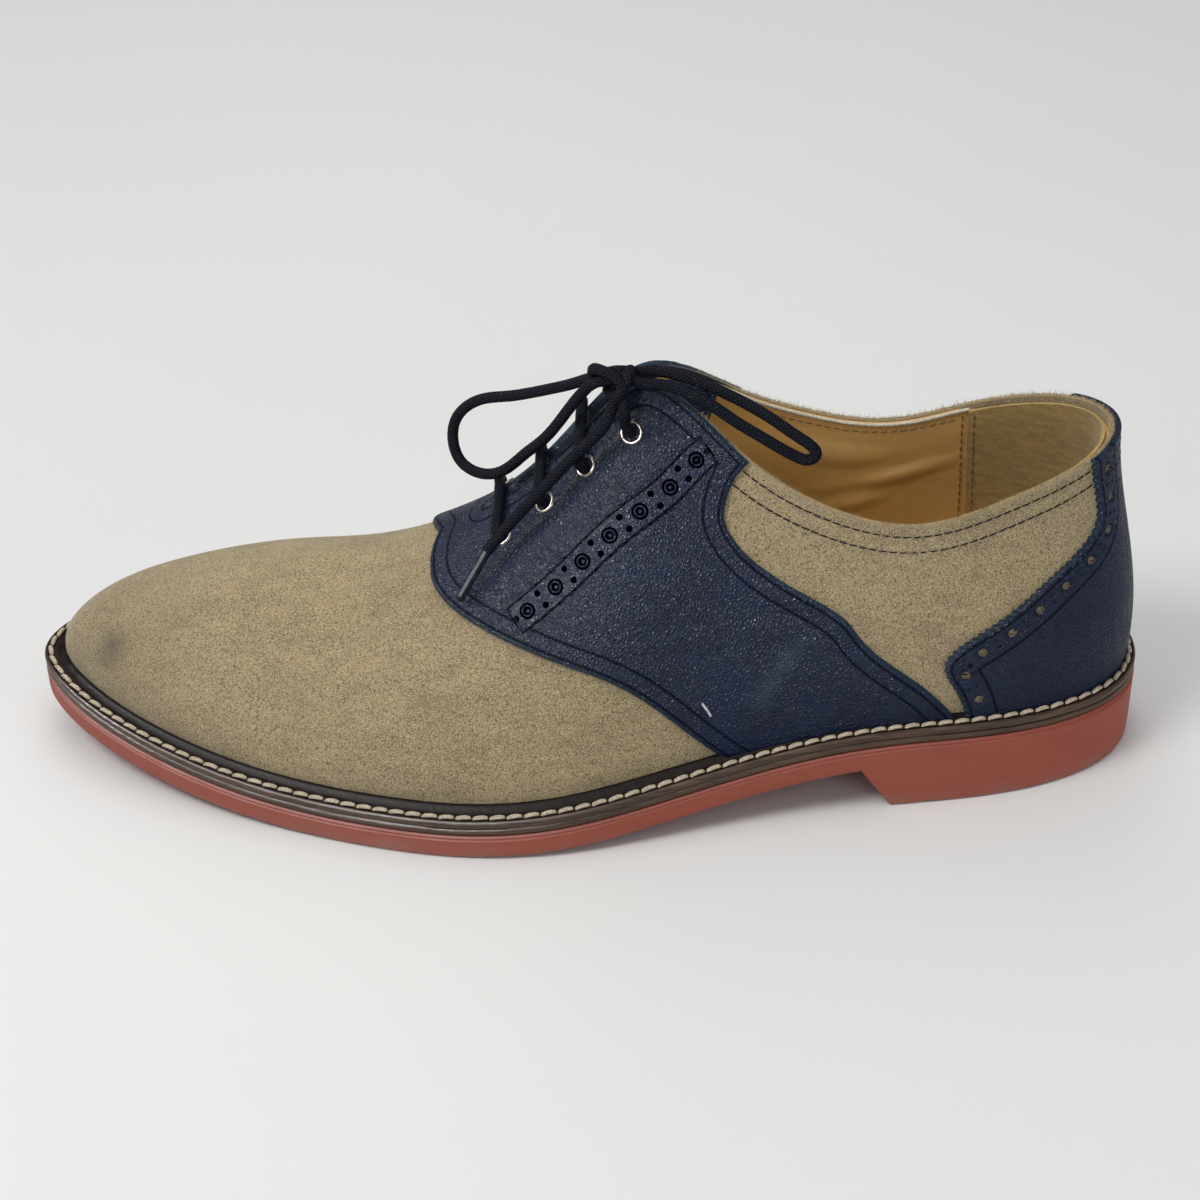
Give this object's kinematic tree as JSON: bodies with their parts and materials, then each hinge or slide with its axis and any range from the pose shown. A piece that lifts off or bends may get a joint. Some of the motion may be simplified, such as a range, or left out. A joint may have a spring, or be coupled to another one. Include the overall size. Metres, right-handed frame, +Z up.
{
  "type": "saddle shoe",
  "caption": "Low laced saddle shoe for the left foot, with a suede body, a smooth leather saddle and counter, a stitched welt and a rubber sole with a low block heel.",
  "frame": {"origin": "on the floor under the centre of the shoe's bounding box", "axes": "+X from toe to heel, -Y towards the outer side of the foot, +Z up"},
  "size_m": [0.306, 0.1095, 0.1204],
  "materials": {
    "outsole": "matte brick red moulded rubber",
    "midsole": "burnished edge",
    "welt": "dark glossy strip with cream stitching",
    "insole": "smooth tan leather",
    "upper": "tan suede",
    "overlay": "grained navy leather",
    "tongue": "navy leather",
    "eyelet": "antique nickel",
    "lace": "waxed round cord",
    "aglet": "dark glossy tip"
  },
  "bodies": {
    "root": {"outsole": "outsole", "midsole": "midsole", "welt": "welt", "insole": "insole", "upper": "upper", "saddle": "overlay", "counter": "overlay", "tongue": "tongue", "eyelet_bottom_outer": "eyelet", "eyelet_bottom_inner": "eyelet", "eyelet_second_outer": "eyelet", "eyelet_second_inner": "eyelet", "eyelet_third_outer": "eyelet", "eyelet_third_inner": "eyelet", "eyelet_top_outer": "eyelet", "eyelet_top_inner": "eyelet", "lace_bar_bottom": "lace", "lace_bar_second": "lace", "lace_bar_third": "lace", "lace_bar_top": "lace", "lace_knot": "lace", "lace_loop_front": "lace", "lace_loop_back": "lace", "lace_end": "lace", "lace_aglet": "aglet"}
  },
  "joints": []
}
